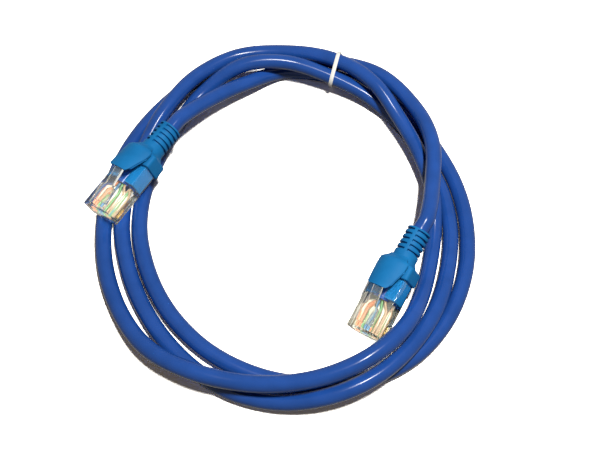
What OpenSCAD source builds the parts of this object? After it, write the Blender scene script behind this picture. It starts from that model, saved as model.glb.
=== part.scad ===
// Ethernet patch cable: one round cord in a loose coil of three and a half turns, held by a
// twist tie, with an eight-contact plug and a hooded boot at each end (a and b).
// Millimetres. The coil lies on z = 0. Each plug is drawn in its own frame, with y towards
// its nose, z towards its latch and the origin in the middle of its rear face.

/* [Cord] */
// outer diameter of the jacket
cord_d = 5.4; // [5.3:0.05:5.45]
// bore of the jacket, across its corners
jacket_bore = 4.3; // [4.2:0.1:4.4]
// thickness of one twisted pair
pair_d = 1.4; // [1.2:0.1:1.4]
// offset of a pair from the middle of the cord, both ways
pair_offset = 0.75; // [0.72:0.01:0.76]

/* [Coil] */
// radius of the coil at the middle of its turns
coil_r = 60; // [60:0.5:61]
// height of the cord's middle where it lies on the table, as a share of its diameter
low_share = 0.4; // [0.38:0.01:0.42]
// rings of the tube in one turn of the coil
rings_per_loop = 24; // [24:24:24]
// flats around the tube
cord_sides = 6; // [6:6:6]

/* [Housing] */
// width of the clear plug
plug_w = 11.7; // [11.6:0.1:11.8]
// length of the clear plug
plug_l = 21.5; // [21.2:0.1:21.8]
// height of the clear plug without its latch
plug_h = 6.6; // [6.5:0.1:6.8]
// wall of the clear plug
plug_wall = 0.5; // [0.45:0.05:0.5]
// depth of the rear well that takes the jacket and the fanned conductors
well_depth = 12.8; // [12.6:0.1:13.0]
// how far the jacket reaches into the plug
jacket_reach = 9.2; // [8.8:0.1:9.4]
// bevel on the nose
nose_bevel = 0.5; // [0.3:0.1:0.6]
// thickness of the nose in front of the conductors
nose_wall = 1.2; // [1.0:0.1:1.4]

/* [Contacts] */
// spacing of the eight ways
way_pitch = 1.02; // [1.02:0.01:1.03]
// thickness of a gold blade
blade_t = 0.35; // [0.3:0.05:0.35]
// length of a gold blade
blade_l = 3.6; // [3.2:0.1:3.8]
// gap between the nose and the blade
blade_setback = 2.0; // [1.8:0.1:2.2]
// width of the slot that each blade stands in
slot_w = 0.5; // [0.45:0.05:0.55]
// depth of the slots that the socket's springs enter
slot_depth = 1.1; // [1.0:0.1:1.2]
// diameter of one insulated conductor
wire_d = 0.9; // [0.85:0.05:0.9]
// height of the conductors' plane
wire_z = -0.8; // [-0.9:0.1:-0.7]
// height of the bare rim left under a blade
blade_inset = 0.35; // [0.3:0.05:0.4]
// height by which the odd and even conductors leave the jacket apart from their plane
wire_step = 0.65; // [0.6:0.05:0.7]
// straight run of a conductor behind its duct
wire_lead = 0.4; // [0.4:0.1:0.6]

/* [Latch] */
// width of the latch where it locks
latch_w = 6.2; // [6.0:0.1:6.4]
// width of the finger tab
tab_w = 3.2; // [3.0:0.1:3.4]
// thickness of the latch
latch_t = 1.1; // [1.0:0.1:1.2]
// length of the wide part
latch_wide_l = 5.8; // [5.4:0.1:6.2]
// whole length of the latch
latch_l = 13.2; // [12.8:0.1:13.4]
// rise of the latch from the plug, degrees
latch_rise = 11.5; // [11:0.5:11.5]
// length of the block that the latch springs from
latch_block_l = 1.6; // [1.4:0.1:1.8]
// distance of the latch's root from the nose
latch_root_back = 2.8; // [2.8:0.1:3.0]

/* [Boot] */
// width of the boot's collar
collar_w = 13.0; // [12.9:0.1:13.2]
// height of the collar above the plug's middle
collar_top = 4.2; // [4.1:0.1:4.3]
// depth of the collar below the plug's middle
collar_bottom = 4.3; // [4.2:0.1:4.4]
// length of the collar
collar_l = 5.0; // [4.8:0.1:5.2]
// how far the collar covers the plug's rear
collar_lap = 1.0; // [0.8:0.1:1.2]
// how far the boot's moulding fills the plug's rear well, beside the cord
fill_l = 8.6; // [8.0:0.1:8.8]
// length of the smooth neck
neck_l = 4.2; // [4.1:0.1:4.4]
// diameter of the neck and of the ribbed relief
relief_d = 8.2; // [8.0:0.1:8.4]
// width of the neck where it meets the collar
neck_w = 9.6; // [9.2:0.1:10.0]
// height of the neck where it meets the collar
neck_h = 7.4; // [7.2:0.1:7.8]
// length over which the neck turns round
neck_taper = 2.4; // [2.0:0.1:2.8]
// length of the ribbed relief
relief_l = 8.9; // [8.8:0.1:9.0]
// rows of slots in the relief
rib_rows = 5; // [5:1:5]
// spacing of the rows
rib_pitch = 1.8; // [1.75:0.05:1.8]
// width of a slot along the cord
rib_slot = 0.8; // [0.7:0.05:0.85]
// plain rim behind the last row
rib_rim = 0.7; // [0.6:0.1:0.8]
// width of the bridges that part the slots
bridge_w = 1.4; // [1.2:0.1:1.6]

/* [Hood] */
// width of the hood at its root
hood_rear_w = 10.4; // [10.0:0.1:10.8]
// width of the hood at its lip
hood_lip_w = 7.4; // [7.0:0.1:7.6]
// length of the hood
hood_l = 10.4; // [10.2:0.1:10.8]
// length of the hood's even rear part
hood_even_l = 3.0; // [2.6:0.1:3.4]
// corner cut of the lip
hood_corner = 0.8; // [0.6:0.1:1.0]
// thickness of the hood
hood_t = 0.8; // [0.7:0.1:0.8]
// outer radius of the hood's dome
hood_r = 8.0; // [7.6:0.1:8.4]
// height of the hood's rear wall
hood_wall_h = 2.7; // [2.7:0.1:2.9]
// rise of the hood from its root to its lip, degrees
hood_rise = 9; // [9:0.5:11]
// rise of the hood's lower edge, degrees, so that the pressed hood clears the collar
hood_under = 13; // [12.5:0.5:13.5]
// rim of the collar left behind the hood
hood_setback = 0.4; // [0.3:0.1:0.5]

/* [Tie] */
// where the tie crosses the coil, clockwise from the top, degrees
tie_bearing = 16.5; // [16:0.5:17]
// width of the tie
tie_w = 1.4; // [1.2:0.1:1.8]
// thickness of the tie
tie_t = 0.6; // [0.5:0.1:0.7]
// gap between the tie and the cord
tie_gap = 0.5; // [0.45:0.05:0.6]

/* [Clearances] */
// gap around pieces that sit in each other
fit_gap = 0.1; // [0.08:0.01:0.12]
// gap around the hinges of latch and hood
hinge_gap = 0.15; // [0.12:0.01:0.2]

/* [Hidden] */
$fn = 48;
ends = ["a", "b"];
ways = [1, 2, 3, 4, 5, 6, 7, 8];
pair_names = ["blue", "orange", "green", "brown"];
eps = 0.01;
big = 40;

// where the middle of the coil lies, so that the whole cable is centred on the origin
coil_centre = [-0.5, -8.2, 0];
low = cord_d * low_share;

// each plug about the coil's middle: bearing of its place, distance outside coil_r, height
plug_place = [[-69.5, -6.9, 12.6], [119.3, -19.3, 10.4]];
plug_at = [for (p = plug_place) (coil_r + p[1]) * [sin(p[0]), cos(p[0]), 0] + [0, 0, p[2]]];
// how each plug points, dips and rolls, and how its boot's tail bends aside and up
plug_bearing = [212, 209.5];
plug_pitch = [-2, -10];
plug_roll = [15, 30];
tail_aside = [-3, -3];
tail_up = [0, 2];

// lay of the cord about the coil's middle: bearing along the cord, clockwise from the top,
// distance of its middle outside coil_r, and its height; the bearing grows by 360 with each turn
lay = [
    // first turn: from boot a, under the second turn, outermost on the right
    [-30, -5, 10.4], [-15, -1.0, 7.6], [0, 6.8, 2.6], [15, 7.2, 3.0], [30, 8.4, 2.4],
    [45, 7.8, low], [60, 5.4, low], [75, 4.8, low], [90, 4.2, low], [120, 2.6, low],
    [135, 1, low], [150, -1.6, low], [165, -5, low], [180, -7.6, low], [210, -10.8, low],
    [240, -11.8, low], [255, -11.3, low], [270, -10, low], [285, -8.6, low],
    [300, -6.8, low], [315, -3, 3.0],
    // second turn: over the first at the top, then outermost at the bottom
    [330, 2.2, 5.2], [345, 4.8, 11.0], [360, 4.6, 11.2], [375, 3.2, 8.2], [390, 2.8, 5.2],
    [405, 1.8, low], [420, -0.6, low], [435, -1.2, low], [450, -1.8, low], [465, -2.6, 3.0],
    [480, -2.6, 5.2], [495, -2.4, 7.4], [510, -1.6, 8.2], [525, -1.2, 7.2], [540, -1.4, 3.8],
    [555, -2.2, low], [570, -3.8, low], [585, -5.2, low], [600, -5.8, low], [615, -5.4, low],
    [630, -4, low], [645, -2.6, 2.8], [660, -0.8, 4.0], [675, 2.6, 7.4],
    // third turn: outermost at the top, innermost and uppermost at the bottom
    [690, 8, 8.2], [705, 11.8, 8.2], [720, 11.4, 8.8], [735, 9.2, 11.0], [750, 4.6, 12.0],
    [765, -0.4, 8.4], [780, -3.8, 7.0], [795, -6, 6.2], [810, -7.8, 3.2], [825, -8.8, 2.6],
    [840, -8.6, 6.4], [855, -7.6, 12.2], [870, -7.0, 13.4], [885, -6.6, 12.0], [900, -6, 9.8],
    [915, -4.8, 8.2], [930, -2.4, 8.2], [945, 0.4, 5.8], [960, 1.2, 2.8], [975, 1.6, low],
    [990, 2.2, low], [1005, 3.4, low], [1020, 5, low], [1035, 7.2, low],
    // last stretch: under the third turn, then over it and in to boot b
    [1050, 10.4, low], [1065, 13.6, low], [1080, 14.8, 2.6], [1095, 13.0, 5.0],
    [1110, 10.8, 9.6], [1125, 6.4, 10.8], [1140, -0.4, 13.8], [1155, -7.8, 13.4],
];

// pair colours and conductor colours, way 1 to way 8
pair_colours = [[0.15, 0.3, 0.75], [0.95, 0.5, 0.1], [0.15, 0.55, 0.25], [0.45, 0.28, 0.15]];
white = [0.93, 0.93, 0.9];
wire_colours = [white, pair_colours[1], white, pair_colours[0],
                white, pair_colours[2], white, pair_colours[3]];
cord_blue = [0.12, 0.28, 0.68];
boot_blue = [0.14, 0.5, 0.75];
clear = [0.85, 0.9, 0.9, 0.5];
gold = [0.9, 0.7, 0.25];

boot_rear = collar_lap - collar_l - neck_l - relief_l;
neck_front = collar_lap - collar_l;
bend_y = neck_front - neck_taper / 2;
bore_d = cord_d + 3 * fit_gap;
bend_room_d = bore_d + 6 * fit_gap;
relief_front = neck_front - neck_taper;
neck_end_d = relief_d + 2 * fit_gap;
latch_root_y = plug_l - latch_root_back;
latch_root_z = plug_h / 2 + hinge_gap + latch_t / 2;
hood_root_y = neck_front + hood_setback;
hood_root_z = collar_top + hinge_gap;
wires_w = len(ways) * way_pitch + 2 * fit_gap;

// ---- the cord's route ----

function unit(v) = v / norm(v);

// slope of column c at station i of the lay, smooth from one station to the next
function lay_slope(i, c) =
    let (last = len(lay) - 1, a = lay[max(i - 1, 0)], b = lay[i], d = lay[min(i + 1, last)])
    i == 0 || i == last ? (d[c] - a[c]) / (d[0] - a[0])
    : let (ha = b[0] - a[0], hb = d[0] - b[0])
      (hb * (b[c] - a[c]) / ha + ha * (d[c] - b[c]) / hb) / (ha + hb);

// value of column c of the lay at bearing q
function lay_value(q, c) =
    let (i = max([for (j = [0 : len(lay) - 2]) if (lay[j][0] <= q) j]),
         h = lay[i + 1][0] - lay[i][0], t = (q - lay[i][0]) / h)
    (2 * t ^ 3 - 3 * t ^ 2 + 1) * lay[i][c] + (t ^ 3 - 2 * t ^ 2 + t) * h * lay_slope(i, c)
    + (3 * t ^ 2 - 2 * t ^ 3) * lay[i + 1][c] + (t ^ 3 - t ^ 2) * h * lay_slope(i + 1, c);

function coil_point(q) = let (r = coil_r + lay_value(q, 1))
    [r * sin(q), r * cos(q), max(low, lay_value(q, 2))];

// turns of a point about x, y and z, and a plug's own point seen from the coil's middle
function turn_x(p, a) = [p[0], p[1] * cos(a) - p[2] * sin(a), p[1] * sin(a) + p[2] * cos(a)];
function turn_y(p, a) = [p[0] * cos(a) + p[2] * sin(a), p[1], p[2] * cos(a) - p[0] * sin(a)];
function turn_z(p, a) = [p[0] * cos(a) - p[1] * sin(a), p[0] * sin(a) + p[1] * cos(a), p[2]];
function placed(e, p) =
    plug_at[e] + turn_z(turn_x(turn_y(p, plug_roll[e]), plug_pitch[e]), -plug_bearing[e]);

// point of the cord's axis in plug e: straight to the bend in the boot's neck, then along its tail
function on_axis(e, y) = placed(e, y > bend_y ? [0, y, 0]
    : [0, bend_y, 0] + turn_x(turn_z([0, y - bend_y, 0], tail_aside[e]), -tail_up[e]));

// lead of the cord: in the plug, round the bend, through the tail and one diameter out of it
lead_ys = [jacket_reach, bend_y, boot_rear, boot_rear - cord_d];
lead_a = [for (y = lead_ys) on_axis(0, y)];
lead_b = [for (i = [len(lead_ys) - 1 : -1 : 0]) on_axis(1, lead_ys[i])];
ring_step = 360 / rings_per_loop;
coil = [for (q = [lay[0][0] : ring_step : lay[len(lay) - 1][0]]) coil_point(q)];
route = [for (p = concat(lead_a, coil, lead_b)) p + coil_centre];

// frame at each point of the route: sideways and upright
function along(i) = unit(route[min(i + 1, len(route) - 1)] - route[max(i - 1, 0)]);
function sideways(i) = let (t = along(i)) unit([t[1], -t[0], 0]);
function upright(i) = cross(sideways(i), along(i));

// ring of the tube at point i, kept on or above the table
function ring(i, r, du = 0, dv = 0) =
    [for (k = [0 : cord_sides - 1])
        let (a = k * 360 / cord_sides,
             p = route[i] + (du + r * cos(a)) * sideways(i) + (dv + r * sin(a)) * upright(i))
        [p[0], p[1], max(p[2], 0)]];

// sides of a tube of n rings whose first vertex is number s, facing out or in
function walls(n, s, outward) = [
    for (i = [0 : n - 2], k = [0 : cord_sides - 1])
        let (a = s + i * cord_sides + k, b = s + i * cord_sides + (k + 1) % cord_sides,
             c = b + cord_sides, d = a + cord_sides)
        each outward ? [[a, b, c], [a, c, d]] : [[a, c, b], [a, d, c]]];

// solid run of the cord's core, or of one pair at an offset
module solid_run(r, du, dv) {
    n = len(route);
    points = [for (i = [0 : n - 1]) each ring(i, r, du, dv)];
    last = (n - 1) * cord_sides;
    caps = [for (k = [1 : cord_sides - 2]) each
        [[0, k + 1, k], [last, last + k, last + k + 1]]];
    polyhedron(points, concat(walls(n, 0, true), caps));
}

// hollow run of the jacket
module hollow_run(r_out, r_in) {
    n = len(route);
    count = n * cord_sides;
    points = concat([for (i = [0 : n - 1]) each ring(i, r_out)],
                    [for (i = [0 : n - 1]) each ring(i, r_in)]);
    last = count - cord_sides;
    caps = [for (k = [0 : cord_sides - 1]) let (m = (k + 1) % cord_sides) each
        [[k, count + k, m], [m, count + k, count + m],
         [last + k, last + m, count + last + k], [last + m, count + last + m, count + last + k]]];
    polyhedron(points, concat(walls(n, 0, true), walls(n, count, false), caps));
}

// least gap of the cord to itself, measured on points four to a ring
samples = [for (i = [0 : len(route) - 2], t = [0 : 0.25 : 0.75]) route[i] * (1 - t) + route[i + 1] * t];
apart = 2 * rings_per_loop;
least_spacing = min([for (i = [0 : len(samples) - apart - 1])
    min([for (j = [i + apart : len(samples) - 1]) norm(samples[i] - samples[j])])]);
run_length = function(p) let (s = [for (i = [1 : len(p) - 1]) norm(p[i] - p[i - 1])]) s * [for (v = s) 1];
echo(least_gap_of_the_cord_to_itself = least_spacing - cord_d);
echo(length_of_the_cord = run_length(route));

// ---- plugs and boots ----

module pose(e) {
    translate(coil_centre + plug_at[e]) rotate([0, 0, -plug_bearing[e]])
        rotate([plug_pitch[e], 0, 0]) rotate([0, plug_roll[e], 0]) children();
}

// block centred on x and z, from y0 to y1
module block(w, y0, y1, h) {
    translate([-w / 2, y0, -h / 2]) cube([w, y1 - y0, h]);
}

module rod(d, y0, y1) {
    translate([0, y0, 0]) rotate([-90, 0, 0]) cylinder(d = d, h = y1 - y0);
}

function way_x(w) = ((len(ways) + 1) / 2 - w) * way_pitch;

module housing() {
    color(clear) difference() {
        union() {
            block(plug_w, 0, plug_l - nose_bevel, plug_h);
            block(plug_w - 2 * nose_bevel, 0, plug_l, plug_h - 2 * nose_bevel);
            // block that the latch springs from
            translate([-latch_w / 2, latch_root_y + hinge_gap, plug_h / 2 - eps])
                cube([latch_w, latch_block_l, hinge_gap + latch_t]);
        }
        block(plug_w - 2 * plug_wall, -eps, well_depth, cord_d + 2 * fit_gap);
        translate([0, 0, wire_z])
            block(wires_w, well_depth - eps, plug_l - nose_wall, wire_d + 2 * fit_gap);
        for (w = ways) translate([way_x(w), 0, 0]) {
            translate([-slot_w / 2, plug_l - blade_setback - blade_l - 2 * fit_gap, -plug_h / 2 - eps])
                cube([slot_w, blade_l + blade_setback + 1, slot_depth + eps]);
            translate([-blade_t / 2 - fit_gap / 2, plug_l - blade_setback - blade_l - fit_gap, -plug_h / 2])
                cube([blade_t + fit_gap, blade_l + 2 * fit_gap, plug_h / 2 + wire_z]);
        }
    }
}

// gold blade of one way, its foot against the conductor
module contact(w) {
    top = wire_z - wire_d / 2 - fit_gap / 2;
    foot = -plug_h / 2 + blade_inset;
    color(gold) translate([way_x(w) - blade_t / 2, plug_l - blade_setback - blade_l, foot])
        cube([blade_t, blade_l, top - foot]);
}

// one conductor: fans out from the jacket's end and runs straight to the nose
module conductor(w) {
    from = [way_x(w) / 2, jacket_reach + fit_gap, wire_z + (w % 2 == 0 ? wire_step : -wire_step)];
    knee = [way_x(w), well_depth + wire_lead, wire_z];
    run = knee - from;
    color(wire_colours[w - 1]) {
        translate(from) rotate([0, acos(run[2] / norm(run)), atan2(run[1], run[0])])
            cylinder(d = wire_d, h = norm(run), $fn = 12);
        translate(knee) sphere(d = wire_d, $fn = 12);
        translate([knee[0], 0, knee[2]]) rod(wire_d, knee[1], plug_l - nose_wall - 2 * fit_gap);
    }
}

// latch, hinged at its root behind the nose and rising to the rear
module latch() {
    color(clear) translate([0, latch_root_y, latch_root_z]) rotate([-latch_rise, 0, 0]) {
        translate([-latch_w / 2, -latch_wide_l, -latch_t / 2]) cube([latch_w, latch_wide_l, latch_t]);
        translate([-tab_w / 2, -latch_l, -latch_t / 2]) cube([tab_w, latch_l - latch_wide_l + eps, latch_t]);
    }
}

module boot(e) {
    color(boot_blue) difference() {
        union() {
            difference() {
                translate([0, 0, (collar_top - collar_bottom) / 2])
                    block(collar_w, neck_front, collar_lap, collar_top + collar_bottom);
                block(plug_w + 2 * fit_gap, -fit_gap, collar_lap + eps, plug_h + 2 * fit_gap);
            }
            // moulding beside the cord in the plug's rear well
            block(plug_w - 2 * plug_wall - 2 * fit_gap, -2 * fit_gap, fill_l, cord_d);
            hull() {
                block(neck_w, neck_front - eps, neck_front + eps, neck_h);
                tail(e) rod(neck_end_d, relief_front - fit_gap, relief_front + fit_gap);
            }
            tail(e) rod(relief_d, boot_rear, relief_front);
        }
        rod(bore_d, bend_y, fill_l + eps);
        translate([0, bend_y, 0]) sphere(d = bend_room_d);
        tail(e) rod(bore_d, boot_rear - eps, bend_y);
        tail(e) for (k = [0 : rib_rows - 1]) rib_slots(boot_rear + rib_rim + k * rib_pitch);
    }
}

// bends what is behind the neck aside and up
module tail(e) {
    translate([0, bend_y, 0]) rotate([-tail_up[e], 0, 0]) rotate([0, 0, tail_aside[e]])
        translate([0, -bend_y, 0]) children();
}

// one row of slots through the relief, left and right of the bridges
module rib_slots(y) {
    difference() {
        rod(relief_d + 1, y, y + rib_slot);
        translate([-bridge_w / 2, y - eps, -relief_d]) cube([bridge_w, rib_slot + 2 * eps, 2 * relief_d]);
    }
}

// domed hood over the latch tab: a rear wall on the collar, a rising dome, open sides and lip
module hood() {
    color(boot_blue) translate([0, hood_root_y, hood_root_z]) difference() {
        intersection() {
            dome(hood_r);
            translate([0, 0, -hood_r]) linear_extrude(height = 2 * hood_r + hood_wall_h) hood_plan();
            rotate([hood_under, 0, 0]) translate([-big / 2, 0, 0]) cube(big);
        }
        intersection() {
            dome(hood_r - hood_t);
            translate([-big / 2, hood_t, -big / 2]) cube([big, big, big]);
        }
    }
}

// round bar under the rising back of the hood, of radius r
module dome(r) {
    translate([0, 0, hood_wall_h - hood_r / cos(hood_rise)]) rotate([hood_rise, 0, 0])
        rod(2 * r, -hood_r / 2, hood_l + hood_r);
}

module hood_plan() {
    polygon([[-hood_rear_w / 2, 0], [-hood_rear_w / 2, hood_even_l],
             [-hood_lip_w / 2, hood_l - hood_corner], [hood_corner - hood_lip_w / 2, hood_l],
             [hood_lip_w / 2 - hood_corner, hood_l], [hood_lip_w / 2, hood_l - hood_corner],
             [hood_rear_w / 2, hood_even_l], [hood_rear_w / 2, 0]]);
}

// ---- cord and tie ----

module jacket() { color(cord_blue) hollow_run(cord_d / 2, jacket_bore / 2); }

module pair(n) {
    color(pair_colours[n]) solid_run(pair_d / 2, pair_offset * (n % 2 == 0 ? 1 : -1),
                                     pair_offset * (n < 2 ? 1 : -1));
}

// outline around the four runs of cord at the tie, a given gap away from them
module bundle(gap) {
    hull() for (turn = [0 : 3])
        translate([coil_r + lay_value(tie_bearing + 360 * turn, 1), lay_value(tie_bearing + 360 * turn, 2)])
            circle(d = cord_d + 2 * gap, $fn = 24);
}

module tie() {
    color(white) translate(coil_centre) rotate([0, 0, -tie_bearing]) rotate([90, 0, 90])
        translate([0, 0, -tie_w / 2]) linear_extrude(height = tie_w)
            difference() {
                bundle(tie_gap + tie_t);
                bundle(tie_gap);
            }
}

jacket();
for (n = [0 : len(pair_names) - 1])
    pair(n);
for (e = [0 : len(ends) - 1]) {
    pose(e) housing();
    pose(e) latch();
    pose(e) boot(e);
    pose(e) hood();
    for (w = ways) {
        pose(e) contact(w);
        pose(e) conductor(w);
    }
}
tie();
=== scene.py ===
"""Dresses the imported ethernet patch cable: jacket, plugs, boots, contacts, conductors and tie."""
import math

import bpy
from mathutils import Matrix, Vector, noise


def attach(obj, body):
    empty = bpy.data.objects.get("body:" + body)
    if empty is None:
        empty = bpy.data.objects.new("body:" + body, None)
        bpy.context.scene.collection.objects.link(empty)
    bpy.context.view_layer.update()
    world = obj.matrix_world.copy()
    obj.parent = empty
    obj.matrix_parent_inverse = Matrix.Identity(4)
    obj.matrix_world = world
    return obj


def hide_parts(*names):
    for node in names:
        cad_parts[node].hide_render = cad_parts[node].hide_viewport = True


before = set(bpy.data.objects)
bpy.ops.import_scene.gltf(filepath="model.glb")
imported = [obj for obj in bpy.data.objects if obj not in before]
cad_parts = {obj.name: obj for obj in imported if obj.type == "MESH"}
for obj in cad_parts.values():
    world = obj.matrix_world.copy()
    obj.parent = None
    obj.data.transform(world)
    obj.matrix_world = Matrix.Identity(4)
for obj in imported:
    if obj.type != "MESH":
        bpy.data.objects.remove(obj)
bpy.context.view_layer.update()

MM = 0.001
ENDS = "ab"
WAYS = range(1, 9)

# ---- sizes in millimetres, the same as in the part's source ----

CORD_D = 5.4
JACKET_BORE = 4.3
LOW = 0.4 * CORD_D
PLUG_W, PLUG_L, PLUG_H = 11.7, 21.5, 6.6
PLUG_WALL = 0.5
WELL_DEPTH, WELL_TAPER_W, WELL_TAPER_H = 12.8, 0.7, 1.1
JACKET_REACH = 9.2
NOSE_WALL = 1.2
WAY_PITCH = 1.02
BLADE_T, BLADE_L, BLADE_SETBACK, BLADE_INSET = 0.35, 3.6, 2.0, 0.35
SLOT_W, SLOT_DEPTH = 0.5, 1.1
WIRE_D, WIRE_Z, WIRE_STEP = 0.9, -0.8, 0.65
LATCH_W, TAB_W, LATCH_T = 6.2, 3.2, 1.1
LATCH_WIDE_L, LATCH_L, LATCH_RISE = 5.8, 13.2, 11.5
LATCH_BLOCK_L, LATCH_ROOT_BACK = 1.6, 2.8
COLLAR_W, COLLAR_TOP, COLLAR_BOTTOM = 13.0, 4.2, 4.3
COLLAR_L, COLLAR_LAP, NECK_L, FILL_L = 5.0, 1.0, 4.2, 8.6
NECK_W, NECK_H, NECK_TAPER = 9.6, 7.4, 2.4
RELIEF_D, RELIEF_L = 8.2, 8.9
RIB_ROWS, RIB_PITCH, RIB_SLOT, RIB_RIM, BRIDGE_W = 5, 1.8, 0.8, 0.7, 1.4
HOOD_REAR_W, HOOD_LIP_W, HOOD_L, HOOD_T = 10.4, 7.4, 10.4, 0.8
HOOD_R, HOOD_WALL_H, HOOD_RISE, HOOD_SETBACK, HOOD_EVEN_L = 8.0, 2.7, 9.0, 0.4, 3.0
TIE_BEARING, TIE_W, TIE_T, TIE_GAP = 16.5, 1.4, 0.6, 0.5
FIT_GAP, HINGE_GAP = 0.1, 0.15

# rounded edges, which the source leaves plain
PLUG_EDGE, ROOT_EDGE, LATCH_EDGE, BLADE_EDGE, HOOD_EDGE = 0.5, 0.25, 0.2, 0.06, 0.18

NECK_FRONT = COLLAR_LAP - COLLAR_L
BOOT_REAR = NECK_FRONT - NECK_L - RELIEF_L
BEND_Y = NECK_FRONT - NECK_TAPER / 2
BORE_D = CORD_D + 3 * FIT_GAP

# where the middle of the coil lies, and the radius that the lay is given from
COIL_CENTRE = Vector((-0.5, -8.2, 0.0))
COIL_R = 60

# each plug about the coil's middle: bearing of its place, distance outside COIL_R, height;
# how it points, dips and rolls, and how its boot's tail bends aside and up
PLUG_PLACE = [(-69.5, -6.9, 12.6), (119.3, -19.3, 10.4)]
PLUG_BEARING = [212, 209.5]
PLUG_PITCH = [-2, -10]
PLUG_ROLL = [15, 30]
TAIL_ASIDE = [-3, -3]
TAIL_UP = [0, 2]
# how far the rows of slots sit round from the top of the boot
SLOT_TURN = [0, 14]

# lay of the cord about the coil's middle: bearing along the cord, distance outside COIL_R, height
LAY = [
    # first turn: from boot a, under the second turn, outermost on the right
    (-30, -5, 10.4), (-15, -1.0, 7.6), (0, 6.8, 2.6), (15, 7.2, 3.0), (30, 8.4, 2.4),
    (45, 7.8, LOW), (60, 5.4, LOW), (75, 4.8, LOW), (90, 4.2, LOW), (120, 2.6, LOW),
    (135, 1, LOW), (150, -1.6, LOW), (165, -5, LOW), (180, -7.6, LOW), (210, -10.8, LOW),
    (240, -11.8, LOW), (255, -11.3, LOW), (270, -10, LOW), (285, -8.6, LOW),
    (300, -6.8, LOW), (315, -3, 3.0),
    # second turn: over the first at the top, then outermost at the bottom
    (330, 2.2, 5.2), (345, 4.8, 11.0), (360, 4.6, 11.2), (375, 3.2, 8.2), (390, 2.8, 5.2),
    (405, 1.8, LOW), (420, -0.6, LOW), (435, -1.2, LOW), (450, -1.8, LOW), (465, -2.6, 3.0),
    (480, -2.6, 5.2), (495, -2.4, 7.4), (510, -1.6, 8.2), (525, -1.2, 7.2), (540, -1.4, 3.8),
    (555, -2.2, LOW), (570, -3.8, LOW), (585, -5.2, LOW), (600, -5.8, LOW), (615, -5.4, LOW),
    (630, -4, LOW), (645, -2.6, 2.8), (660, -0.8, 4.0), (675, 2.6, 7.4),
    # third turn: outermost at the top, innermost and uppermost at the bottom
    (690, 8, 8.2), (705, 11.8, 8.2), (720, 11.4, 8.8), (735, 9.2, 11.0), (750, 4.6, 12.0),
    (765, -0.4, 8.4), (780, -3.8, 7.0), (795, -6, 6.2), (810, -7.8, 3.2), (825, -8.8, 2.6),
    (840, -8.6, 6.4), (855, -7.6, 12.2), (870, -7.0, 13.4), (885, -6.6, 12.0), (900, -6, 9.8),
    (915, -4.8, 8.2), (930, -2.4, 8.2), (945, 0.4, 5.8), (960, 1.2, 2.8), (975, 1.6, LOW),
    (990, 2.2, LOW), (1005, 3.4, LOW), (1020, 5, LOW), (1035, 7.2, LOW),
    # last stretch: under the third turn, then over it and in to boot b
    (1050, 10.4, LOW), (1065, 13.6, LOW), (1080, 14.8, 2.6), (1095, 13.0, 5.0),
    (1110, 10.8, 9.6), (1125, 6.4, 10.8), (1140, -0.4, 13.8), (1155, -7.8, 13.4),
]

# ---- camera: its lens and sensor in millimetres, its tilt from straight down and its swing ----

CAMERA_AT = Vector((-5.71, -91.39, 193.67)) * MM
LENS, SENSOR = 36, 36
TILT, SWING = math.radians(24), math.radians(7)
CAMERA_TURN = Matrix.Rotation(TILT, 4, Vector((math.cos(SWING), -math.sin(SWING), 0)))
camera_data = bpy.data.cameras.new("view")
camera_data.lens = LENS
camera_data.sensor_width = SENSOR
camera_data.clip_start = 0.01
camera = bpy.data.objects.new("view", camera_data)
bpy.context.scene.collection.objects.link(camera)
camera.matrix_world = Matrix.Translation(CAMERA_AT) @ CAMERA_TURN
bpy.context.scene.camera = camera

# ---- places and routes ----

# degrees between two points that the route takes from the lay, and pieces between two points
LAY_STEP, ROUTE_STEPS = 15, 8


def polar(bearing, r, z):
    """A point at a bearing and a distance outside COIL_R about the coil's middle, in metres."""
    b = math.radians(bearing)
    r += COIL_R
    return (COIL_CENTRE + Vector((r * math.sin(b), r * math.cos(b), z))) * MM


def turned(angle, axis):
    return Matrix.Rotation(math.radians(angle), 4, axis)


def pose(e):
    """Plug e's frame, in metres: y to its nose, z to its latch, origin mid rear face."""
    return (Matrix.Translation(polar(*PLUG_PLACE[e])) @ turned(-PLUG_BEARING[e], "Z")
            @ turned(PLUG_PITCH[e], "X") @ turned(PLUG_ROLL[e], "Y") @ Matrix.Scale(MM, 4))


def tail(e):
    """Bends what is behind boot e's neck aside and up, in the plug's own millimetres."""
    pivot = Vector((0, BEND_Y, 0))
    return (Matrix.Translation(pivot) @ turned(-TAIL_UP[e], "X") @ turned(TAIL_ASIDE[e], "Z")
            @ Matrix.Translation(-pivot))


def hermite(t, a, slope_a, b, slope_b):
    """The value at share t of the way from a to b."""
    return ((2 * t ** 3 - 3 * t ** 2 + 1) * a + (t ** 3 - 2 * t ** 2 + t) * slope_a
            + (3 * t ** 2 - 2 * t ** 3) * b + (t ** 3 - t ** 2) * slope_b)


def lay_slope(i, c):
    """Slope of column c of the lay at station i."""
    a, b, d = LAY[max(i - 1, 0)], LAY[i], LAY[min(i + 1, len(LAY) - 1)]
    if a is b or b is d:
        return (d[c] - a[c]) / (d[0] - a[0])
    ha, hb = b[0] - a[0], d[0] - b[0]
    return (hb * (b[c] - a[c]) / ha + ha * (d[c] - b[c]) / hb) / (ha + hb)


def lay_value(q, c):
    """Column c of the lay at bearing q, smooth between stations."""
    i = max(j for j in range(len(LAY) - 1) if LAY[j][0] <= q)
    h = LAY[i + 1][0] - LAY[i][0]
    return hermite((q - LAY[i][0]) / h, LAY[i][c], h * lay_slope(i, c),
                   LAY[i + 1][c], h * lay_slope(i + 1, c))


def coil_point(q):
    return polar(q, lay_value(q, 1), max(LOW, lay_value(q, 2)))


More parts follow.
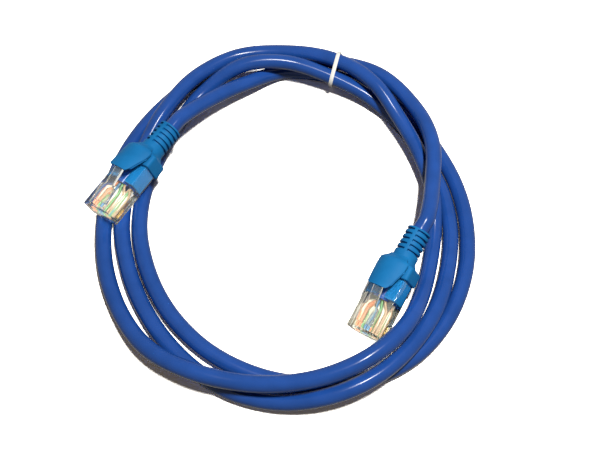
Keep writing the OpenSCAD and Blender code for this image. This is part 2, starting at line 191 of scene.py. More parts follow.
def smooth_line(points, steps):
    """A curve through the points, with steps pieces from each to the next."""
    out = []
    for i in range(len(points) - 1):
        p0, p1, p2, p3 = (points[min(max(i + k, 0), len(points) - 1)] for k in (-1, 0, 1, 2))
        span = (p2 - p1).length
        ma = (p2 - p0) * (span / max((p1 - p0).length + span, 1e-9))
        mb = (p3 - p1) * (span / max((p3 - p2).length + span, 1e-9))
        out += [hermite(k / steps, p1, ma, p2, mb) for k in range(steps)]
    return out + [points[-1]]


def cord_route():
    """Middle of the cord in metres, from inside plug a round the coil to inside plug b."""
    lead_ys = [JACKET_REACH, 2.0, BEND_Y, (BEND_Y + BOOT_REAR) / 2, BOOT_REAR, BOOT_REAR - CORD_D]
    lead_a, lead_b = ([pose(e) @ (tail(e) if y < BEND_Y else Matrix()) @ Vector((0, y, 0))
                       for y in lead_ys] for e in (0, 1))
    lead_b.reverse()
    coil = [coil_point(q) for q in range(LAY[0][0], LAY[-1][0] + 1, LAY_STEP)]
    return smooth_line(lead_a + coil + lead_b, ROUTE_STEPS)


# ---- mesh building ----


def piece(name, verts, faces, material, body, place=None, uvs=None):
    """A new piece, riding on a body if there is one, its points moved by place if it is given."""
    mesh = bpy.data.meshes.new(name)
    moved = [place @ Vector(v) for v in verts] if place else [Vector(v) for v in verts]
    mesh.from_pydata(moved, [], faces)
    if uvs:
        layer = mesh.uv_layers.new(name="run")
        for loop in mesh.loops:
            layer.data[loop.index].uv = uvs[loop.vertex_index]
    mesh.materials.append(material)
    obj = bpy.data.objects.new(name, mesh)
    bpy.context.scene.collection.objects.link(obj)
    mesh.polygons.foreach_set("use_smooth", [True] * len(mesh.polygons))
    if body:
        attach(obj, body)
    return obj


def crease(mesh, angle):
    """Shades the mesh sharp where its faces meet at more than the angle."""
    mesh.set_sharp_from_angle(angle=math.radians(angle))


def applied(obj):
    """Swaps the piece's mesh for what its modifiers make of it, and drops them."""
    graph = bpy.context.evaluated_depsgraph_get()
    fresh = bpy.data.meshes.new_from_object(obj.evaluated_get(graph))
    obj.modifiers.clear()
    obj.data = fresh
    return fresh


def finish_mesh(obj, bevel=0.0, segments=2, angle=40):
    """Rounds the sharp edges of a piece, applies its modifiers and shades it by angle."""
    if bevel:
        mod = obj.modifiers.new("round", "BEVEL")
        mod.width = bevel
        mod.segments = segments
        mod.limit_method = "ANGLE"
        mod.angle_limit = math.radians(angle)
    fresh = applied(obj)
    fresh.polygons.foreach_set("use_smooth", [True] * len(fresh.polygons))
    crease(fresh, angle)


def loft(rings, closed=False):
    """Vertices and faces through rings of equal count, capped unless closed into a loop."""
    n = len(rings[0])
    verts = [v for ring in rings for v in ring]
    faces = []
    for i in range(len(rings) if closed else len(rings) - 1):
        a, b = i * n, ((i + 1) % len(rings)) * n
        faces += [(a + k, a + (k + 1) % n, b + (k + 1) % n, b + k) for k in range(n)]
    if not closed:
        faces.append(tuple(reversed(range(n))))
        faces.append(tuple(range(len(verts) - n, len(verts))))
    return verts, faces


def frames_along(points):
    """Two unit vectors across the line at each point, without twist."""
    out = []
    side = None
    for i in range(len(points)):
        t = (points[min(i + 1, len(points) - 1)] - points[max(i - 1, 0)]).normalized()
        if side is None:
            side = t.cross(Vector((0, 0, 1))).normalized()
        side = (side - t * side.dot(t)).normalized()
        out.append((side, t.cross(side)))
    return out


def circle(centre, u, v, r, sides):
    """Points of a circle across u and v."""
    return [centre + r * (math.cos(2 * math.pi * k / sides) * u
                          + math.sin(2 * math.pi * k / sides) * v) for k in range(sides)]


def tube(points, radius, sides, floor=None):
    """Rings of a round tube along the points; radius may be a function of station and angle."""
    rings = []
    for i, (p, (u, v)) in enumerate(zip(points, frames_along(points))):
        ring = []
        for k in range(sides):
            a = 2 * math.pi * k / sides
            r = radius(i, a) if callable(radius) else radius
            q = p + r * (math.cos(a) * u + math.sin(a) * v)
            if floor is not None:
                q.z = max(q.z, floor)
            ring.append(q)
        rings.append(ring)
    return rings


# ---- materials ----

# the middle of a noise's range, where most of it lies
NOISE_LOW, NOISE_HIGH = 0.3, 0.7
# depth of a fine and of a coarser grain, in metres
FINE, COARSE = 0.00001, 0.00003
# share of the lamp's light that goes through clear plastic
LIGHT_PASSED = 0.9


def new_material(name):
    material = bpy.data.materials.new(name)
    material.use_nodes = True
    nodes, links = material.node_tree.nodes, material.node_tree.links
    return material, nodes, links, nodes["Principled BSDF"]


def noise_node(nodes, links, scale, detail):
    where = nodes.new("ShaderNodeTexCoord")
    texture = nodes.new("ShaderNodeTexNoise")
    texture.inputs["Scale"].default_value = scale
    texture.inputs["Detail"].default_value = detail
    links.new(where.outputs["Object"], texture.inputs["Vector"])
    return texture.outputs["Fac"]


def math_node(nodes, links, operation, *terms):
    """A Math node, each of whose terms is a socket or a number."""
    node = nodes.new("ShaderNodeMath")
    node.operation = operation
    for i, term in enumerate(terms):
        if isinstance(term, (int, float)):
            node.inputs[i].default_value = term
        else:
            links.new(term, node.inputs[i])
    return node.outputs["Value"]


def mixed(nodes, links, fac, first, second):
    """The first shader where fac is 0, and the second where it is 1."""
    node = nodes.new("ShaderNodeMixShader")
    links.new(fac, node.inputs["Fac"])
    links.new(first, node.inputs[1])
    links.new(second, node.inputs[2])
    return node.outputs["Shader"]


def ramp(nodes, links, fac, low, high, start=0.35, end=0.65):
    """A colour that goes from low to high while fac goes from start to end."""
    node = nodes.new("ShaderNodeValToRGB")
    node.color_ramp.elements[0].position = start
    node.color_ramp.elements[1].position = end
    node.color_ramp.elements[0].color = (*low, 1)
    node.color_ramp.elements[1].color = (*high, 1)
    links.new(fac, node.inputs["Fac"])
    return node.outputs["Color"]


def spread(nodes, links, fac, low, high):
    """The middle of a noise's range spread from low to high."""
    node = nodes.new("ShaderNodeMapRange")
    node.inputs["From Min"].default_value = NOISE_LOW
    node.inputs["From Max"].default_value = NOISE_HIGH
    node.inputs["To Min"].default_value = low
    node.inputs["To Max"].default_value = high
    links.new(fac, node.inputs["Value"])
    return node.outputs["Result"]


def surface(name, low, high, rough, patch, gloss, grain, depth, strength):
    """Slightly uneven colour and gloss, and a fine grain; patch, gloss and grain are noises,
    each of a scale per metre and a detail, and the grain is depth metres deep. A surface without
    a patch carries the stripe of a conductor."""
    material, nodes, links, shader = new_material(name)
    if patch:
        colour = ramp(nodes, links, noise_node(nodes, links, *patch), low, high)
    else:
        colour = ramp(nodes, links, winding(nodes, links), low, high, *STRIPE_EDGE)
    links.new(colour, shader.inputs["Base Color"])
    dull = spread(nodes, links, noise_node(nodes, links, *gloss), *rough)
    links.new(dull, shader.inputs["Roughness"])
    relief = nodes.new("ShaderNodeBump")
    relief.inputs["Strength"].default_value = strength
    relief.inputs["Distance"].default_value = depth
    links.new(noise_node(nodes, links, *grain), relief.inputs["Height"])
    links.new(relief.outputs["Normal"], shader.inputs["Normal"])
    return material, nodes, links, shader


def plastic(name, low, high, rough, grain, depth, sheen=0.5):
    """Moulded plastic."""
    material, nodes, links, shader = surface(
        name, low, high, rough, patch=(120, 4), gloss=(260, 5), grain=(grain, 2), depth=depth,
        strength=0.5)
    shader.inputs["Specular IOR Level"].default_value = sheen
    return material


def clear_plastic(name, low, high, rough):
    """Clear plastic, which passes most of the lamp's light on."""
    material, nodes, links, shader = surface(
        name, low, high, rough, patch=(200, 2), gloss=(420, 5), grain=(260, 2), depth=COARSE,
        strength=0.3)
    shader.inputs["Transmission Weight"].default_value = 1.0
    shader.inputs["IOR"].default_value = 1.5
    path = nodes.new("ShaderNodeLightPath")
    kept = math_node(nodes, links, "MULTIPLY_ADD", path.outputs["Is Shadow Ray"],
                     -LIGHT_PASSED, 1.0)
    links.new(kept, shader.inputs["Alpha"])
    return material


def metal(name, low, high, rough):
    material, nodes, links, shader = surface(
        name, low, high, rough, patch=(700, 4), gloss=(1500, 4), grain=(2500, 2), depth=FINE,
        strength=0.3)
    shader.inputs["Metallic"].default_value = 1.0
    return material


def winding(nodes, links):
    """Share of a turn round the conductor, which moves on slowly along it."""
    where = nodes.new("ShaderNodeTexCoord")
    split = nodes.new("ShaderNodeSeparateXYZ")
    links.new(where.outputs["UV"], split.inputs["Vector"])
    turn = math_node(nodes, links, "ADD", split.outputs["X"], split.outputs["Y"])
    return math_node(nodes, links, "FRACT", turn)


def striped(name, stripe):
    """White insulation with a coloured stripe that winds slowly round the conductor."""
    return surface(name, stripe, INSULATION_WHITE, WIRE_ROUGH, patch=None, gloss=(900, 3),
                   grain=(WIRE_GRAIN, 2), depth=FINE, strength=0.3)[0]


# the share of a turn where a stripe ends, and where its white begins
STRIPE_EDGE = (0.34, 0.38)
INSULATION_WHITE = (0.85, 0.82, 0.70)
WIRE_ROUGH, WIRE_GRAIN = (0.3, 0.45), 1400
PAIR_COLOURS = {"orange": (0.74, 0.30, 0.16), "green": (0.18, 0.40, 0.18),
                "blue": (0.10, 0.25, 0.45), "brown": (0.42, 0.29, 0.18)}
WAY_COLOURS = ["white orange", "orange", "white green", "blue", "white blue", "green",
               "white brown", "brown"]

jacket_vinyl = plastic("jacket_vinyl", (0.012, 0.066, 0.300), (0.016, 0.080, 0.360),
                       rough=(0.15, 0.20), grain=1100, depth=FINE, sheen=0.16)
boot_vinyl = plastic("boot_vinyl", (0.007, 0.148, 0.395), (0.010, 0.182, 0.470),
                     rough=(0.5, 0.62), grain=1300, depth=COARSE, sheen=0.12)
clear_resin = clear_plastic("clear_resin", (0.90, 0.89, 0.80), (0.95, 0.94, 0.87),
                            rough=(0.02, 0.10))
gold_plate = metal("gold_plate", (0.85, 0.52, 0.14), (0.95, 0.66, 0.25), rough=(0.16, 0.3))
paper_white = plastic("paper_white", (0.80, 0.80, 0.76), (0.90, 0.90, 0.87),
                      rough=(0.5, 0.7), grain=2200, depth=COARSE)
solid_wire = {c: plastic("wire_" + c, tuple(0.85 * k for k in rgb), rgb,
                         rough=WIRE_ROUGH, grain=WIRE_GRAIN, depth=FINE)
              for c, rgb in PAIR_COLOURS.items()}
striped_wire = {c: striped("wire_white_" + c, rgb) for c, rgb in PAIR_COLOURS.items()}

# ---- the cord ----

ROUTE = cord_route()
JACKET_SIDES = 28
# length in metres over which the pairs wind once, how far they and chance lift the jacket in
# millimetres, and how quickly chance changes along it
PAIR_LAY, PAIR_LIFT, CHANCE_LIFT, CHANCE_PER_M = 0.085, 0.018, 0.03, 30
# how deep the hollow end of the jacket shows, in metres
HOLLOW = 0.003
# the least angles that stay sharp, in degrees
CORD_CREASE, BOOT_CREASE, HOOD_CREASE, TIE_CREASE = 50, 45, 42, 60


def build_jacket():
    """One unbroken jacket whose surface follows, very slightly, the four pairs twisted inside."""
    at = [0.0]
    for a, b in zip(ROUTE, ROUTE[1:]):
        at.append(at[-1] + (b - a).length)

    def radius(i, angle):
        lobes = math.cos(len(PAIR_COLOURS) * (angle - 2 * math.pi * at[i] / PAIR_LAY))
        chance = noise.noise(Vector((at[i] * CHANCE_PER_M, math.cos(angle), math.sin(angle))))
        return (CORD_D / 2 + PAIR_LIFT * lobes + CHANCE_LIFT * chance) * MM

    across = frames_along(ROUTE)

    def bore_ring(i, neighbour, depth):
        inward = (ROUTE[neighbour] - ROUTE[i]).normalized()
        return circle(ROUTE[i] + inward * depth, *across[i], JACKET_BORE / 2 * MM, JACKET_SIDES)

    rings = ([bore_ring(0, 1, HOLLOW), bore_ring(0, 1, 0.0)]
             + tube(ROUTE, radius, JACKET_SIDES, floor=0.0)
             + [bore_ring(-1, -2, 0.0), bore_ring(-1, -2, HOLLOW)])
    verts, faces = loft(rings)
    obj = piece("jacket_run", verts, faces, jacket_vinyl, "cable")
    crease(obj.data, CORD_CREASE)
    return obj


jacket = build_jacket()
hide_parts("jacket")

# ---- floor and light ----

# radius of the white card that the cable lies on, in metres, and its colours: to the eye, where it
# is mottled, to mirrors and glass, and for the light that comes back up from it
CARD_R, CARD_SIDES = 0.19, 72
CARD_SEEN, CARD_MOTTLE = ((2.75, 2.70, 2.60), (2.85, 2.80, 2.70)), (8, 3)
CARD_PLAIN, CARD_DIM = (0.74, 0.73, 0.68, 1), (0.16, 0.14, 0.12, 1)
# where the lamp stands and its size, both in metres, its watts and its colour
LAMP_AT, LAMP_SIZE = (0.04, -0.01, 0.30), (0.05, 0.025)
LAMP_WATTS, LAMP_COLOUR = 1.05, (1.0, 0.98, 0.94)
WORLD_COLOUR, WORLD_STRENGTH = (1.0, 0.78, 0.45, 1), 0.05
WHITE = (1, 1, 1, 1)


def build_floor():
    """White card. The eye sees it over-bright, mirrors and glass see it plain, and little of its
    light comes back up at the cord."""
    verts = circle(Vector((0, 0, 0)), Vector((1, 0, 0)), Vector((0, 1, 0)), CARD_R, CARD_SIDES)
    material, nodes, links, shader = new_material("white_card")
    nodes.remove(shader)
    seen, plain, dim = (nodes.new("ShaderNodeBsdfDiffuse") for _ in range(3))
    mottle = noise_node(nodes, links, *CARD_MOTTLE)
    links.new(ramp(nodes, links, mottle, *CARD_SEEN), seen.inputs["Color"])
    plain.inputs["Color"].default_value = CARD_PLAIN
    dim.inputs["Color"].default_value = CARD_DIM
    path = nodes.new("ShaderNodeLightPath")
    direct = mixed(nodes, links, path.outputs["Is Glossy Ray"],
                   seen.outputs["BSDF"], plain.outputs["BSDF"])
    whole = mixed(nodes, links, path.outputs["Is Diffuse Ray"], direct, dim.outputs["BSDF"])
    links.new(whole, nodes["Material Output"].inputs["Surface"])
    obj = piece("floor", verts, [tuple(range(CARD_SIDES))], material, None)


def build_lamp():
    data = bpy.data.lights.new("lamp", "AREA")
    data.shape = "RECTANGLE"
    data.size, data.size_y = LAMP_SIZE
    data.energy = LAMP_WATTS
    data.color = LAMP_COLOUR
    obj = bpy.data.objects.new("lamp", data)
    bpy.context.scene.collection.objects.link(obj)
    obj.location = LAMP_AT
    obj.rotation_euler = (-Vector(LAMP_AT)).to_track_quat("-Z", "Y").to_euler()


def build_world():
    """White behind the object and in glass and mirrors, and a faint warm light on the object."""
    world = bpy.data.worlds.new("studio")
    bpy.context.scene.world = world
    world.use_nodes = True
    nodes, links = world.node_tree.nodes, world.node_tree.links
    ground = nodes["Background"]
    ground.inputs["Color"].default_value = WORLD_COLOUR
    ground.inputs["Strength"].default_value = WORLD_STRENGTH
    seen = nodes.new("ShaderNodeBackground")
    seen.inputs["Color"].default_value = WHITE
    seen.inputs["Strength"].default_value = 1.0
    path = nodes.new("ShaderNodeLightPath")
    through = math_node(nodes, links, "MAXIMUM", path.outputs["Is Camera Ray"],
                        path.outputs["Is Transmission Ray"])
    either = math_node(nodes, links, "MAXIMUM", through, path.outputs["Is Glossy Ray"])
    whole = mixed(nodes, links, either, ground.outputs["Background"], seen.outputs["Background"])
    links.new(whole, nodes["World Output"].inputs["Surface"])


build_floor()
build_lamp()
build_world()
bpy.context.scene.view_settings.view_transform = "Standard"

# ---- plugs ----

# fine grooves on top of the nose, and how far they stay from the well and from the nose's end
GROOVE_W, GROOVE_DEPTH, GROOVE_FROM_WELL, GROOVE_FROM_NOSE = 0.24, 0.16, 0.6, 0.9
# pocket of the strain-relief wedge, from back to front, and its roof above the well's floor
POCKET_W, POCKET_BACK, POCKET_FRONT, POCKET_ROOF = 6.8, 4.4, 7.6, 0.2
# how far the well stays straight past the jacket, and the ducts begin before it ends
WELL_STRAIGHT, DUCT_LAP = 0.3, 0.4
# room for a blade beside it and along it, and how far its slot begins behind it
BLADE_BESIDE, BLADE_ALONG, SLOT_BEHIND = 0.05, 0.1, 0.2
# how far that room stays below the conductors' middle, and the latch's block goes into the body
BLADE_ROOF, ROOT_LAP = 0.2, 0.4
# how far a cutter reaches past the face that it opens
PAST = 1
# clipped corners of the latch's wide part, of its waist and of its tab
WIDE_CLIP, WAIST_CLIP, TAB_CLIP = 0.5, 0.3, 0.8
# clipped corners of a blade's foot, the height of a tooth, and how far from the blade's end a
# tooth begins, peaks and ends
FOOT_CLIP_BACK, FOOT_CLIP_FRONT, TOOTH_H, TOOTH = 0.2, 0.4, 0.5, (0.5, 0.8, 1.1)


def boolean(obj, other, operation):
    mod = obj.modifiers.new("cut", "BOOLEAN")
    mod.operation = operation
    mod.object = other
    mod.solver = "EXACT"


def block(x0, x1, y0, y1, z0, z1):
    """Corners and faces of a block."""
    verts = [(x, y, z) for z in (z0, z1) for y in (y0, y1) for x in (x0, x1)]
    faces = [(0, 2, 3, 1), (4, 5, 7, 6), (0, 1, 5, 4), (2, 6, 7, 3), (0, 4, 6, 2), (1, 3, 7, 5)]
    return verts, faces


def joined(parts):
    """The corners and faces of several shapes as one list of each."""
    verts, faces = [], []
    for v, f in parts:
        faces += [tuple(i + len(verts) for i in face) for face in f]
        verts += v
    return verts, faces


def way_x(w):
    return ((len(WAYS) + 1) / 2 - w) * WAY_PITCH


def duct_outline():
    """Scalloped outline of the eight ducts side by side, half round each."""
    r = WIRE_D / 2 + FIT_GAP
    out = []
    for start, ways in ((30, WAYS), (210, reversed(WAYS))):
        for w in ways:
            for turn in range(start, start + 121, 20):
                a = math.radians(turn)
                out.append((way_x(w) + r * math.cos(a), WIRE_Z + r * math.sin(a)))
    return out


def housing_cutters():
    """What is cut from the plug: rear well, wire ducts, contact slots, grooves and wedge pocket."""
    well_w, well_h = PLUG_W / 2 - PLUG_WALL, CORD_D / 2 + FIT_GAP
    rings = []
    for y, w, h in ((-PAST, well_w, well_h), (JACKET_REACH + WELL_STRAIGHT, well_w, well_h),
                    (WELL_DEPTH, well_w - WELL_TAPER_W, well_h - WELL_TAPER_H)):
        rings.append([(-w, y, -h), (w, y, -h), (w, y, h), (-w, y, h)])
    cutters = [loft(rings)]
    outline = duct_outline()
    cutters.append(loft([[(x, y, z) for x, z in outline]
                         for y in (WELL_DEPTH - DUCT_LAP, PLUG_L - NOSE_WALL)]))
    back = PLUG_L - BLADE_SETBACK - BLADE_L
    room = BLADE_T / 2 + BLADE_BESIDE
    for w in WAYS:
        x = way_x(w)
        cutters.append(block(x - SLOT_W / 2, x + SLOT_W / 2, back - SLOT_BEHIND, PLUG_L + PAST,
                             -PLUG_H / 2 - PAST, -PLUG_H / 2 + SLOT_DEPTH))
        cutters.append(block(x - room, x + room, back - BLADE_ALONG,
                             back + BLADE_L + BLADE_ALONG, -PLUG_H / 2, WIRE_Z - BLADE_ROOF))
    for w in WAYS[:-1]:
        x = way_x(w) - WAY_PITCH / 2
        cutters.append(block(x - GROOVE_W / 2, x + GROOVE_W / 2, WELL_DEPTH + GROOVE_FROM_WELL,
                             PLUG_L - GROOVE_FROM_NOSE, PLUG_H / 2 - GROOVE_DEPTH,
                             PLUG_H / 2 + PAST))
    cutters.append(block(-POCKET_W / 2, POCKET_W / 2, POCKET_BACK, POCKET_FRONT,
                         -PLUG_H / 2 - PAST, -CORD_D / 2 + POCKET_ROOF))
    return cutters


def build_housing(e):
    """Clear body with what is cut from it, and the block that the latch springs from."""
    verts, faces = block(-PLUG_W / 2, PLUG_W / 2, 0, PLUG_L, -PLUG_H / 2, PLUG_H / 2)
    body = piece("housing_" + ENDS[e] + "_shell", verts, faces, clear_resin, None)
    finish_mesh(body, PLUG_EDGE, segments=4)
    for verts, faces in housing_cutters():
        cutter = piece("cut", verts, faces, clear_resin, None)
        boolean(body, cutter, "DIFFERENCE")
        applied(body)
        bpy.data.objects.remove(cutter)
    root_y = PLUG_L - LATCH_ROOT_BACK + HINGE_GAP
    verts, faces = block(-LATCH_W / 2, LATCH_W / 2, root_y, root_y + LATCH_BLOCK_L,
                         PLUG_H / 2 - ROOT_LAP, PLUG_H / 2 + HINGE_GAP + LATCH_T)
    root = piece("root", verts, faces, clear_resin, None)
    finish_mesh(root, ROOT_EDGE, segments=3)
    boolean(body, root, "UNION")
    finish_mesh(body)
    bpy.data.objects.remove(root)
    body.data.transform(pose(e))
    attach(body, "cable")
    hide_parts("housing_" + ENDS[e])
    return body


def build_latch(e):
    """Springy latch: wide where it locks, then the narrow finger tab with clipped corners."""
    half_wide, half_tab = LATCH_W / 2, TAB_W / 2
    plan = [(half_wide, 0), (half_wide, -LATCH_WIDE_L + WIDE_CLIP),
            (half_wide - WIDE_CLIP, -LATCH_WIDE_L), (half_tab + WAIST_CLIP, -LATCH_WIDE_L),
            (half_tab, -LATCH_WIDE_L - TAB_CLIP), (half_tab, -LATCH_L + TAB_CLIP),
            (half_tab - TAB_CLIP, -LATCH_L)]
    outline = plan + [(-x, y) for x, y in reversed(plan)]
    rings = [[(x, y, z) for x, y in outline] for z in (LATCH_T / 2, -LATCH_T / 2)]
    verts, faces = loft(rings)
    obj = piece("latch_" + ENDS[e] + "_spring", verts, faces, clear_resin, None)
    finish_mesh(obj, LATCH_EDGE, segments=3)
    place = Matrix.Translation((0, PLUG_L - LATCH_ROOT_BACK, PLUG_H / 2 + HINGE_GAP + LATCH_T / 2))
    obj.data.transform(pose(e) @ place @ turned(-LATCH_RISE, "X"))
    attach(obj, "latch_" + ENDS[e])
    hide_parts("latch_" + ENDS[e])
    return obj


def build_contact(e, w):
    """Gold blade: flat foot towards the socket, two teeth towards the conductor."""
    y0 = PLUG_L - BLADE_SETBACK - BLADE_L
    y1 = y0 + BLADE_L
    foot, top = -PLUG_H / 2 + BLADE_INSET, WIRE_Z - WIRE_D / 2 - FIT_GAP / 2
    base = top - TOOTH_H
    tooth = list(zip(TOOTH, (base, top, base)))
    side = [(y0, foot + FOOT_CLIP_BACK), (y0 + FOOT_CLIP_BACK, foot),
            (y1 - FOOT_CLIP_FRONT, foot), (y1, foot + FOOT_CLIP_FRONT), (y1, base)]
    side += [(y1 - d, z) for d, z in tooth] + [(y0 + d, z) for d, z in reversed(tooth)]
    side.append((y0, base))
    x = way_x(w)
    rings = [[(x + d, y, z) for y, z in side] for d in (-BLADE_T / 2, BLADE_T / 2)]
    verts, faces = loft(rings)
    obj = piece("blade_%s%d" % (ENDS[e], w), verts, faces, gold_plate, None)
    finish_mesh(obj, BLADE_EDGE)
    obj.data.transform(pose(e))
    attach(obj, "cable")
    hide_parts("contact_%s%d" % (ENDS[e], w))
    return obj


WIRE_SIDES, WIRE_STEPS = 16, 6
# course of a conductor from the jacket to the nose: share of its way's distance aside, place
# along the plug, and share of its height over or under the row
WIRE_COURSE = ((0.5, JACKET_REACH + FIT_GAP, 1), (0.62, JACKET_REACH + 1.1, 1),
               (0.9, WELL_DEPTH - 0.9, 0.2), (1, WELL_DEPTH + 0.4, 0), (1, WELL_DEPTH + 2, 0),
               (1, PLUG_L - NOSE_WALL - 0.2, 0))
# share of a turn that a stripe winds on in a millimetre
STRIPE_TURNS = 0.05


def build_conductor(e, w):
    """Insulated conductor: leaves the jacket in its pair, fans out and runs on to the nose."""
    rise = WIRE_STEP if w % 2 == 0 else -WIRE_STEP
    points = [Vector((aside * way_x(w), y, WIRE_Z + up * rise)) for aside, y, up in WIRE_COURSE]
    line = smooth_line(points, WIRE_STEPS)
    verts, faces = loft(tube(line, WIRE_D / 2, WIRE_SIDES))
    uvs = [(k / WIRE_SIDES, STRIPE_TURNS * (p - line[0]).length) for p in line
           for k in range(WIRE_SIDES)]
    words = WAY_COLOURS[w - 1].split()
    material = striped_wire[words[1]] if words[0] == "white" else solid_wire[words[0]]
    obj = piece("wire_%s%d" % (ENDS[e], w), verts, faces, material, None, pose(e), uvs)
    crease(obj.data, CORD_CREASE)
    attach(obj, "cable")
    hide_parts("conductor_%s%d" % (ENDS[e], w))
    return obj


# ---- boots ----

BOOT_SIDES = 96
# squareness of the collar and of the pocket for the plug
COLLAR_SQUARE, POCKET_SQUARE = 9, 14
# outside of the collar from its front back: place along the plug, how far it is drawn in at the
# sides, on top and below, and its squareness
COLLAR_SKIN = ((COLLAR_LAP - 0.02, 0.25, 0.2, 0.2, COLLAR_SQUARE),
               (COLLAR_LAP - 0.2, 0.04, 0.03, 0.03, COLLAR_SQUARE),
               (COLLAR_LAP - 0.5, 0, 0, 0, COLLAR_SQUARE),
               (NECK_FRONT + 0.9, 0, 0, 0, COLLAR_SQUARE), (NECK_FRONT + 0.45, 0.12, 0.03, 0.05, 8),
               (NECK_FRONT + 0.1, 0.5, 0.12, 0.2, 6.5), (NECK_FRONT - 0.15, 1.1, 0.25, 0.35, 5))
# outside of the neck in the same order, with what it reaches past half of its size
NECK_SKIN = ((NECK_FRONT - 0.5, 0.1, 0.15, 0.1, 3.8), (NECK_FRONT - 1.2, -0.3, 0.2, 0.2, 3))
# squareness where the neck becomes the strain relief: nearly round
NECK_END_SQUARE = 2.1
# how deep the slots are cut, and how far and how deep their edges are eased
SLOT_DEEP, EASE_L, EASE_DEEP = 0.9, 0.12, 0.07
# width in which a slot's wall goes down, and in which the bore opens into the plug's pocket
SLOT_WALL, POCKET_WALL = 0.02, 0.05
# rounded rim at the rear: place before the rear end, and how far it is drawn in there
RIM_SKIN = ((0.3, 0), (0.08, 0.12), (0, 0.4))
# moulding in the plug's well, from its back: place along the plug, and how far its edges are
# rounded off there
FILL_SKIN = ((-2 * FIT_GAP, 0), (FILL_L - 0.3, 0), (FILL_L - 0.1, 0.1), (FILL_L, 0.3))


def rounded_ring(y, half_w, up, down, power):
    """Ring between a circle (power 2) and a rounded rectangle (high power)."""
    ring = []
    for k in range(BOOT_SIDES):
        a = 2 * math.pi * (k + 0.5) / BOOT_SIDES
        c, s = math.cos(a), math.sin(a)
        h = up if s > 0 else down
        ring.append((half_w * math.copysign(abs(c) ** (2 / power), c), y,
                     h * math.copysign(abs(s) ** (2 / power), s)))
    return ring


def relief_ring(y, r, slot_r=None, turn=0):
    """Ring of the strain relief; left and right of the bridges it is drawn in to slot_r."""
    ring = []
    for k in range(BOOT_SIDES):
        a = 2 * math.pi * (k + 0.5) / BOOT_SIDES
        beside = abs(RELIEF_D / 2 * math.cos(a - math.radians(turn))) > BRIDGE_W / 2
        rr = slot_r if slot_r and beside else r
        ring.append((rr * math.cos(a), y, rr * math.sin(a)))
    return ring


def fill(side):
    """Moulding in the plug's rear well, on one side of the cord."""
    w, h = PLUG_W / 2 - PLUG_WALL - FIT_GAP, CORD_D / 2
    rings = []
    for y, inset in FILL_SKIN:
        bore = BORE_D / 2 + inset / 2
        section = [(w - inset, -h + inset), (w - inset, h - inset)]
        section += [(bore * math.cos(math.radians(a)), bore * math.sin(math.radians(a)))
                    for a in range(60, -61, -12)]
        rings.append([(side * x, y, z) for x, z in section[::side]])
    return loft(rings)


def build_boot(e):
    """Moulded boot: collar round the plug's rear, tapering neck and slotted strain relief."""
    w, up, down = COLLAR_W / 2, COLLAR_TOP, COLLAR_BOTTOM
    r, bore = RELIEF_D / 2, BORE_D / 2
    pocket_w, pocket_h = PLUG_W / 2 + FIT_GAP, PLUG_H / 2 + FIT_GAP
    rings = [rounded_ring(y, w - aside, up - over, down - under, power)
             for y, aside, over, under, power in COLLAR_SKIN]
    rings += [rounded_ring(y, NECK_W / 2 + aside, NECK_H / 2 + over, NECK_H / 2 + under, power)
              for y, aside, over, under, power in NECK_SKIN]
    rings.append(rounded_ring(NECK_FRONT - NECK_TAPER, r, r, r, NECK_END_SQUARE))
    for k in reversed(range(RIB_ROWS)):
        y = BOOT_REAR + RIB_RIM + k * RIB_PITCH
        for dy, slot_r in ((RIB_SLOT + EASE_L, r), (RIB_SLOT, r - EASE_DEEP),
                           (RIB_SLOT - SLOT_WALL, r - SLOT_DEEP), (SLOT_WALL, r - SLOT_DEEP),
                           (0, r - EASE_DEEP), (-EASE_L, r)):
            rings.append(relief_ring(y + dy, r, slot_r, SLOT_TURN[e]))
    rings += [relief_ring(BOOT_REAR + dy, r - drawn) for dy, drawn in RIM_SKIN]
    rings += [relief_ring(BOOT_REAR, bore), relief_ring(BEND_Y, bore),
              relief_ring(-FIT_GAP - POCKET_WALL, bore),
              rounded_ring(-FIT_GAP, pocket_w, pocket_h, pocket_h, POCKET_SQUARE),
              rounded_ring(COLLAR_LAP, pocket_w, pocket_h, pocket_h, POCKET_SQUARE)]
    verts, faces = loft(rings, closed=True)
    bend = tail(e)
    verts = [bend @ Vector(v) if v[1] < BEND_Y else v for v in verts]
    verts, faces = joined([(verts, faces)] + [fill(side) for side in (-1, 1)])
    obj = piece("boot_" + ENDS[e] + "_mould", verts, faces, boot_vinyl, "cable", pose(e))
    crease(obj.data, BOOT_CREASE)
    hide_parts("boot_" + ENDS[e])
    return obj


HOOD_COLUMNS = 17
# height over which the hood's rear wall takes on the dome's curve
HOOD_BLEND = 1.8
# side view of the hood's ramp, from its foot on the neck up to the dome: place before the hood's
# root and height over it
HOOD_RAMP = ((-2.6, 0), (-2.0, 0.35), (-1.3, 1.2), (-0.6, 2.2), (0, 2.7))


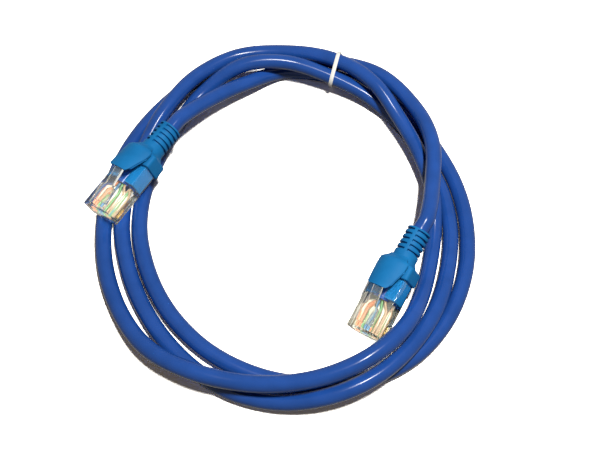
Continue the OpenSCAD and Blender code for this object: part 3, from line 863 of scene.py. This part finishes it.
def build_hood(e):
    """Hood over the latch tab: ramp from the neck, rear corners, rising dome and narrow lip."""
    root_y = NECK_FRONT + HOOD_SETBACK
    root_z = COLLAR_TOP + HINGE_GAP
    lip_y = root_y + HOOD_L
    rise = math.tan(math.radians(HOOD_RISE))

    def top(y):
        return root_z + HOOD_WALL_H + (y - root_y) * rise

    outer = [(root_y + dy, root_z + dz) for dy, dz in HOOD_RAMP]
    even_y = root_y + HOOD_EVEN_L
    outer += [(y, top(y)) for y in (root_y + 0.8, even_y, root_y + 6,
                                    lip_y - 2, lip_y - 0.8, lip_y - 0.2, lip_y)]
    inner = [(y, top(y) - HOOD_T) for y in (lip_y, lip_y - 2, root_y + 6, even_y)]
    inner += [(root_y + HOOD_T + 0.5, top(root_y + 1.5) - HOOD_T - 0.1),
              (root_y + HOOD_T, root_z + 1.4), (root_y + HOOD_T, root_z)]
    half_rear, half_lip = HOOD_REAR_W / 2, HOOD_LIP_W / 2
    stops = [(root_y - 2.6, 3.2), (root_y - 1.3, 3.9), (root_y - 0.5, 4.5), (root_y, half_rear),
             (even_y, half_rear), (lip_y - 2, half_lip + 0.4), (lip_y - 0.8, half_lip + 0.05),
             (lip_y - 0.2, half_lip - 0.4), (lip_y, half_lip - 0.9)]

    def half_width(y):
        for (ya, wa), (yb, wb) in zip(stops, stops[1:]):
            if y <= yb:
                return wa + (wb - wa) * max(0.0, y - ya) / (yb - ya)
        return stops[-1][1]

    rings = []
    for k in range(HOOD_COLUMNS):
        u = -1 + 2 * k / (HOOD_COLUMNS - 1)
        ring = []
        for y, z in outer + inner:
            x = u * half_width(y)
            drop = HOOD_R - math.sqrt(HOOD_R ** 2 - x ** 2)
            share = 1.0 if y < root_y else min(1.0, max(0.0, (z - root_z) / HOOD_BLEND))
            ring.append((x, y, z - drop * share))
        rings.append(ring)
    verts, faces = loft(rings)
    obj = piece("hood_" + ENDS[e] + "_mould", verts, faces, boot_vinyl, None)
    finish_mesh(obj, HOOD_EDGE, segments=3, angle=HOOD_CREASE)
    obj.data.transform(pose(e))
    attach(obj, "hood_" + ENDS[e])
    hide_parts("hood_" + ENDS[e])
    return obj


for e in range(2):
    made = [build_boot(e), build_hood(e), build_housing(e), build_latch(e)]
    made += [build_contact(e, w) for w in WAYS]
    made += [build_conductor(e, w) for w in WAYS]

tuple(pose(0) @ tail(0) @ Vector((0, BOOT_REAR, 0)))
[tuple(p) for p in ROUTE]

# ---- pairs in the jacket, and the tie ----

for colour in PAIR_COLOURS:
    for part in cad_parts["pair_" + colour].material_slots:
        part.material = solid_wire[colour]


def hull_outline(centres, radius):
    """Outline of a string drawn tight round discs at the centres, in the plane of the tie."""
    turns = [math.radians(a) for a in range(0, 360, 10)]
    cloud = sorted({(cx + radius * math.cos(a), cz + radius * math.sin(a))
                    for cx, cz in centres for a in turns})

    def half(points):
        chain = []
        for p in points:
            while len(chain) > 1 and ((chain[-1][0] - chain[-2][0]) * (p[1] - chain[-2][1])
                                      - (chain[-1][1] - chain[-2][1]) * (p[0] - chain[-2][0])) <= 0:
                chain.pop()
            chain.append(p)
        return chain[:-1]

    return half(cloud) + half(cloud[::-1])


# runs of the cord that the tie holds
TIE_RUNS = 4
# section of the tie, from side to side in widths and from its inside out in thicknesses:
# flat paper with the wire's bead along its middle
TIE_SECTION = ((-0.5, -0.16), (-0.25, -0.2), (-0.12, -0.42), (0.12, -0.42), (0.25, -0.2),
               (0.5, -0.16), (0.5, 0.16), (0.25, 0.2), (0.12, 0.42), (-0.12, 0.42),
               (-0.25, 0.2), (-0.5, 0.16))


def build_tie():
    """Paper-faced wire tie, a closed band round the four runs of the cord."""
    centres = [(COIL_R + lay_value(TIE_BEARING + 360 * k, 1), lay_value(TIE_BEARING + 360 * k, 2))
               for k in range(TIE_RUNS)]
    outline = hull_outline(centres, CORD_D / 2 + TIE_GAP / 2 + TIE_T / 2)
    place = (Matrix.Translation(COIL_CENTRE * MM) @ turned(90 - TIE_BEARING, "Z")
             @ Matrix.Scale(MM, 4))
    rings = []
    for i, (r, z) in enumerate(outline):
        before, after = outline[i - 1], outline[(i + 1) % len(outline)]
        run = Vector((after[0] - before[0], after[1] - before[1])).normalized()
        out = Vector((run.y, -run.x))
        rings.append([(r + out.x * o * TIE_T, s * TIE_W, z + out.y * o * TIE_T)
                      for s, o in TIE_SECTION])
    verts, faces = loft(rings, closed=True)
    obj = piece("tie_band", verts, faces, paper_white, "cable", place)
    crease(obj.data, TIE_CREASE)
    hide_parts("tie")


build_tie()
